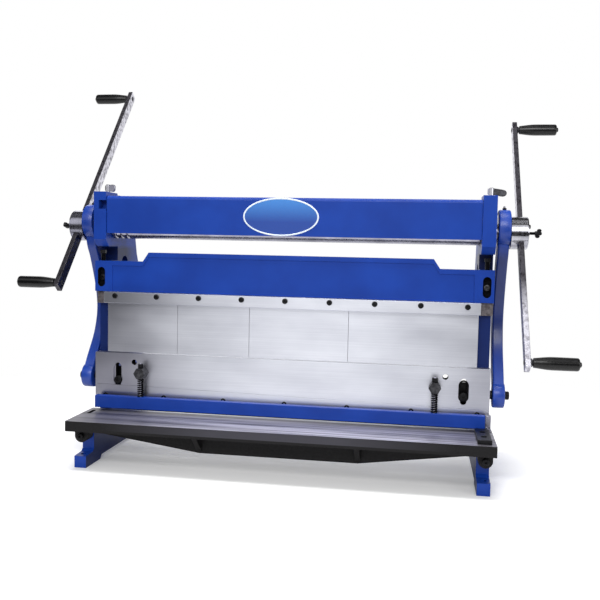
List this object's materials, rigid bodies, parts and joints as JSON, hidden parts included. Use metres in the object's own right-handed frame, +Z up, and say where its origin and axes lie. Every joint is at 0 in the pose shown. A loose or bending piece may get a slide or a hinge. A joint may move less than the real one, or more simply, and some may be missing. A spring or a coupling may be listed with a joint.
{
  "type": "slip roll machine",
  "caption": "Bench slip roll machine that is also a finger brake and a guillotine shear, on two side frames, driven by one crank shaft with sliding crank bars.",
  "frame": {"origin": "on the floor, under the middle of the machine's box", "axes": "+X to the right of a person at the table, +Y away from them, +Z up"},
  "size_m": [1.0956, 0.488, 0.8219],
  "materials": {
    "blue_enamel": "glossy blue enamel",
    "table_iron": "dark cast iron, ground on working faces",
    "ground_steel": "ground steel",
    "bright_steel": "bright turned or drawn steel",
    "black_steel": "black oxide",
    "black_plastic": "black moulded plastic",
    "bronze": "plain bearing bronze"
  },
  "bodies": {
    "frame": {"left_side_frame": "blue_enamel", "right_side_frame": "blue_enamel", "rear_tie_bar": "black_steel", "table": "table_iron", "lower_blade": "ground_steel", "left_table_bolt": "black_steel", "right_table_bolt": "black_steel", "side_gauge": "table_iron", "left_beam_bolt": "black_steel", "right_beam_bolt": "black_steel", "left_end_block": "ground_steel", "right_end_block": "ground_steel", "left_shaft_bush": "bronze", "right_shaft_bush": "bronze", "front_panel": "blue_enamel"},
    "beam": {"brake_beam": "blue_enamel", "clamp_strip": "ground_steel", "finger_far_left": "ground_steel", "finger_mid_left": "ground_steel", "finger_mid_right": "ground_steel", "finger_far_right": "ground_steel"},
    "ram": {"ram_plate": "ground_steel", "upper_blade": "ground_steel", "left_hold_down_stud": "bright_steel", "right_hold_down_stud": "bright_steel", "left_gauge_clip": "black_steel", "right_gauge_clip": "black_steel", "left_spring": "black_steel", "right_spring": "black_steel"},
    "hold_down": {"hold_down_bar": "blue_enamel"},
    "crank": {"crank_roll": "bright_steel", "crank_gear": "bright_steel", "left_hub": "bright_steel", "right_hub": "bright_steel"},
    "upper_blocks": {"left_upper_bearing": "table_iron", "right_upper_bearing": "table_iron"},
    "upper_roll": {"upper_roll": "bright_steel", "upper_gear": "bright_steel"},
    "rear_blocks": {"left_rear_bearing": "table_iron", "right_rear_bearing": "table_iron"},
    "rear_roll": {"rear_roll": "bright_steel"},
    "left_jack": {"left_jack_screw": "black_steel"},
    "left_arm": {"left_link_arm": "blue_enamel", "left_link_bolt": "black_steel"},
    "left_wing": {"left_wing_screw": "black_steel"},
    "left_bar": {"left_crank_bar": "bright_steel"},
    "left_upper_handle": {"left_upper_grip": "black_plastic"},
    "left_lower_handle": {"left_lower_grip": "black_plastic"},
    "left_lever": {"left_lock_lever": "bright_steel"},
    "left_knob": {"left_rear_knob": "black_steel"},
    "right_jack": {"right_jack_screw": "black_steel"},
    "right_arm": {"right_link_arm": "blue_enamel", "right_link_bolt": "black_steel"},
    "right_wing": {"right_wing_screw": "black_steel"},
    "right_bar": {"right_crank_bar": "bright_steel"},
    "right_upper_handle": {"right_upper_grip": "black_plastic"},
    "right_lower_handle": {"right_lower_grip": "black_plastic"},
    "right_lever": {"right_lock_lever": "bright_steel"},
    "right_knob": {"right_rear_knob": "black_steel"}
  },
  "joints": [
    {"name": "beam_lift", "type": "slide", "parent": "frame", "child": "beam", "axis": [0, 0, 1], "range_m": [0, 0.007]},
    {"name": "ram_slide", "type": "slide", "parent": "frame", "child": "ram", "axis": [0, 0, 1], "range_m": [-0.018, 0]},
    {"name": "hold_down_slide", "type": "slide", "parent": "ram", "child": "hold_down", "axis": [0, 0, 1], "range_m": [0, 0.0117], "deforming": ["left_spring", "right_spring"]},
    {"name": "crank_spin", "type": "hinge", "parent": "frame", "child": "crank", "pos_m": [0, -0.04807, 0.485], "axis": [1, 0, 0], "continuous": true},
    {"name": "upper_roll_lift", "type": "slide", "parent": "frame", "child": "upper_blocks", "axis": [0, 0, 1], "range_m": [0, 0.002]},
    {"name": "upper_roll_spin", "type": "hinge", "parent": "upper_blocks", "child": "upper_roll", "pos_m": [0, -0.04807, 0.5285], "axis": [1, 0, 0], "continuous": true},
    {"name": "rear_roll_lift", "type": "slide", "parent": "frame", "child": "rear_blocks", "axis": [0, 0, 1], "range_m": [0, 0.015]},
    {"name": "rear_roll_spin", "type": "hinge", "parent": "rear_blocks", "child": "rear_roll", "pos_m": [0, -0.00007, 0.4782], "axis": [1, 0, 0], "continuous": true},
    {"name": "left_jack_turn", "type": "hinge", "parent": "beam", "child": "left_jack", "pos_m": [-0.3943, -0.07507, 0.412], "axis": [0, 0, 1], "range_deg": [0, 720]},
    {"name": "left_arm_swing", "type": "hinge", "parent": "crank", "child": "left_arm", "pos_m": [-0.43, -0.04807, 0.494], "axis": [1, 0, 0], "continuous": true},
    {"name": "left_wing_turn", "type": "hinge", "parent": "crank", "child": "left_wing", "pos_m": [-0.48, -0.04807, 0.485], "axis": [1, 0, 0], "range_deg": [0, 360]},
    {"name": "left_bar_slide", "type": "slide", "parent": "crank", "child": "left_bar", "axis": [0, 0.6521, 0.7581], "range_m": [-0.378, 0.112]},
    {"name": "left_upper_grip_spin", "type": "hinge", "parent": "left_bar", "child": "left_upper_handle", "pos_m": [-0.5, 0.22679, 0.80455], "axis": [1, 0, 0], "continuous": true},
    {"name": "left_lower_grip_spin", "type": "hinge", "parent": "left_bar", "child": "left_lower_handle", "pos_m": [-0.5, -0.14947, 0.36711], "axis": [1, 0, 0], "continuous": true},
    {"name": "left_lever_turn", "type": "hinge", "parent": "frame", "child": "left_lever", "pos_m": [-0.399, -0.04207, 0.5553], "axis": [0, 0, 1], "range_deg": [-180, 180]},
    {"name": "left_knob_turn", "type": "hinge", "parent": "frame", "child": "left_knob", "pos_m": [-0.39325, -0.00007, 0.5553], "axis": [0, 0, 1], "range_deg": [0, 1800]},
    {"name": "right_jack_turn", "type": "hinge", "parent": "beam", "child": "right_jack", "pos_m": [0.3943, -0.07507, 0.412], "axis": [0, 0, 1], "range_deg": [0, 720]},
    {"name": "right_arm_swing", "type": "hinge", "parent": "crank", "child": "right_arm", "pos_m": [0.43, -0.04807, 0.494], "axis": [1, 0, 0], "continuous": true},
    {"name": "right_wing_turn", "type": "hinge", "parent": "crank", "child": "right_wing", "pos_m": [0.48, -0.04807, 0.485], "axis": [1, 0, 0], "range_deg": [0, 360]},
    {"name": "right_bar_slide", "type": "slide", "parent": "crank", "child": "right_bar", "axis": [0, 0.6157, 0.788], "range_m": [-0.243, 0.247]},
    {"name": "right_upper_grip_spin", "type": "hinge", "parent": "right_bar", "child": "right_upper_handle", "pos_m": [0.5, 0.12832, 0.71076], "axis": [1, 0, 0], "continuous": true},
    {"name": "right_lower_grip_spin", "type": "hinge", "parent": "right_bar", "child": "right_lower_handle", "pos_m": [0.5, -0.22692, 0.25608], "axis": [1, 0, 0], "continuous": true},
    {"name": "right_lever_turn", "type": "hinge", "parent": "frame", "child": "right_lever", "pos_m": [0.399, -0.04207, 0.5553], "axis": [0, 0, 1], "range_deg": [-180, 180]},
    {"name": "right_knob_turn", "type": "hinge", "parent": "frame", "child": "right_knob", "pos_m": [0.39325, -0.00007, 0.5553], "axis": [0, 0, 1], "range_deg": [0, 1800]}
  ],
  "couplings": [
    {"joint": "hold_down_slide", "follows": "ram_slide", "ratio": -0.65},
    {"joint": "upper_roll_spin", "follows": "crank_spin", "ratio": -1.5},
    {"joint": "left_arm_swing", "follows": "crank_spin", "ratio": -1},
    {"joint": "left_knob_turn", "follows": "rear_roll_lift", "rad_per_m": 2094.4},
    {"joint": "right_arm_swing", "follows": "crank_spin", "ratio": -1},
    {"joint": "right_knob_turn", "follows": "rear_roll_lift", "rad_per_m": 2094.4}
  ]
}
